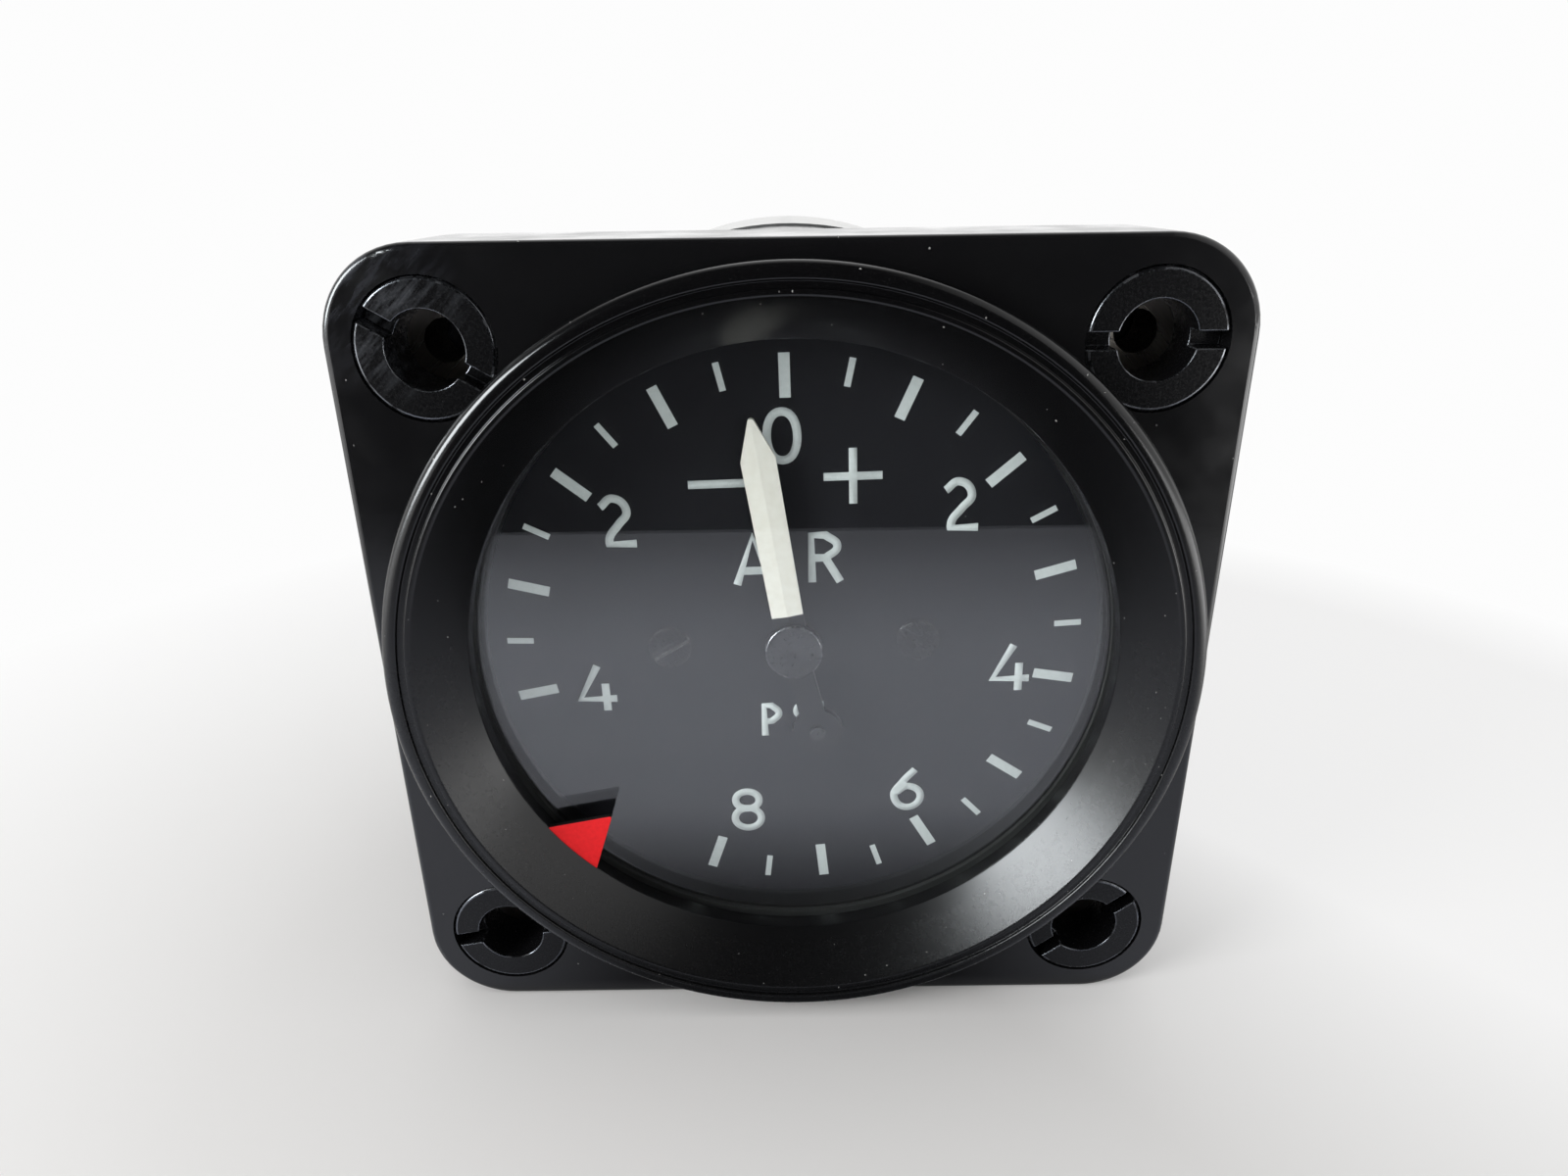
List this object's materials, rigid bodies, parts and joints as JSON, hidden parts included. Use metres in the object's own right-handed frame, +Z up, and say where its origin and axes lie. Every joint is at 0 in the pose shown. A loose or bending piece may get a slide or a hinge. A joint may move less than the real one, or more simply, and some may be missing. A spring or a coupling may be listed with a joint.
{
  "type": "aircraft pressure gauge",
  "caption": "Panel pressure gauge: square flange, round dial with a swinging pointer, curved tube and geared movement in a sealed round case, pipe union behind.",
  "frame": {"origin": "centre of the flange's front face, on the pointer's axis", "axes": "+X right and +Z up as the dial is read, +Y from the dial into the case"},
  "size_m": [0.0604, 0.0785, 0.0604],
  "materials": {
    "case_moulding": "glossy black moulding",
    "bezel_black": "satin black",
    "cover_glass": "clear",
    "rubber_seal": "matt black",
    "ring_black": "matt black",
    "marker_red": "satin red paint",
    "cup_alloy": "bare, lightly worn",
    "plain_steel": "bright",
    "dial_black": "matt black paint",
    "screw_black": "black finish, worn at the slot",
    "bush_black": "satin black, worn at the edges",
    "hub_black": "matt black paint",
    "pointer_cream": "matt cream paint",
    "movement_brass": "turned and brushed",
    "spring_bronze": "drawn"
  },
  "bodies": {
    "case": {"front_case": "case_moulding", "bezel_ring": "bezel_black", "glass": "cover_glass", "glass_gasket": "rubber_seal", "case_seal": "rubber_seal", "limit_ring": "ring_black", "limit_flag": "marker_red", "rear_cup": "cup_alloy", "thread_inserts": "plain_steel", "case_screws": "plain_steel", "dial_plate": "dial_black", "dial_screws": "screw_black", "dial_posts": "movement_brass", "hairspring": "spring_bronze", "hairspring_stud": "movement_brass", "front_plate": "movement_brass", "back_plate": "movement_brass", "plate_pillars": "movement_brass", "front_plate_screws": "plain_steel", "back_plate_screws": "plain_steel", "pressure_tube": "spring_bronze", "tube_socket": "movement_brass", "socket_screws": "plain_steel", "stem_washer": "rubber_seal", "stem_nut": "movement_brass", "bush_top_left": "bush_black", "bush_top_right": "bush_black", "bush_bottom_right": "bush_black", "bush_bottom_left": "bush_black"},
    "pointer": {"pointer": "pointer_cream", "pointer_weight": "hub_black", "weight_rivet": "hub_black", "pointer_hub": "hub_black", "pinion_arbor": "plain_steel", "hairspring_collet": "movement_brass"},
    "sector": {"sector_gear": "movement_brass", "sector_arbor": "plain_steel", "sector_pin": "plain_steel"},
    "link": {"drive_link": "movement_brass"},
    "tip": {"tube_tip": "movement_brass", "tip_pin": "plain_steel"}
  },
  "joints": [
    {"name": "sector_swing", "type": "hinge", "parent": "case", "child": "sector", "pos_m": [0.01301, 0.01284, -0.01222], "axis": [0, 1, 0], "range_deg": [-28.9, 12.6], "stiffness_Nm_per_rad": 0.02},
    {"name": "pointer_spin", "type": "hinge", "parent": "case", "child": "pointer", "pos_m": [0, 0.01244, 0], "axis": [0, 1, 0], "range_deg": [-94.5, 216.75], "deforming": ["hairspring"]},
    {"name": "link_swing", "type": "hinge", "parent": "sector", "child": "link", "pos_m": [0.01796, 0.01424, -0.01292], "axis": [0, 1, 0], "range_deg": [-12.6, 28.9]},
    {"name": "tip_flex", "type": "hinge", "parent": "case", "child": "tip", "pos_m": [-0.00633, 0.02404, 0.0056], "axis": [0, 1, 0], "range_deg": [-5.78, 2.52], "deforming": ["pressure_tube"]}
  ],
  "couplings": [
    {"joint": "pointer_spin", "follows": "sector_swing", "ratio": -7.5},
    {"joint": "link_swing", "follows": "sector_swing", "ratio": -1},
    {"joint": "tip_flex", "follows": "sector_swing", "ratio": 0.2}
  ]
}
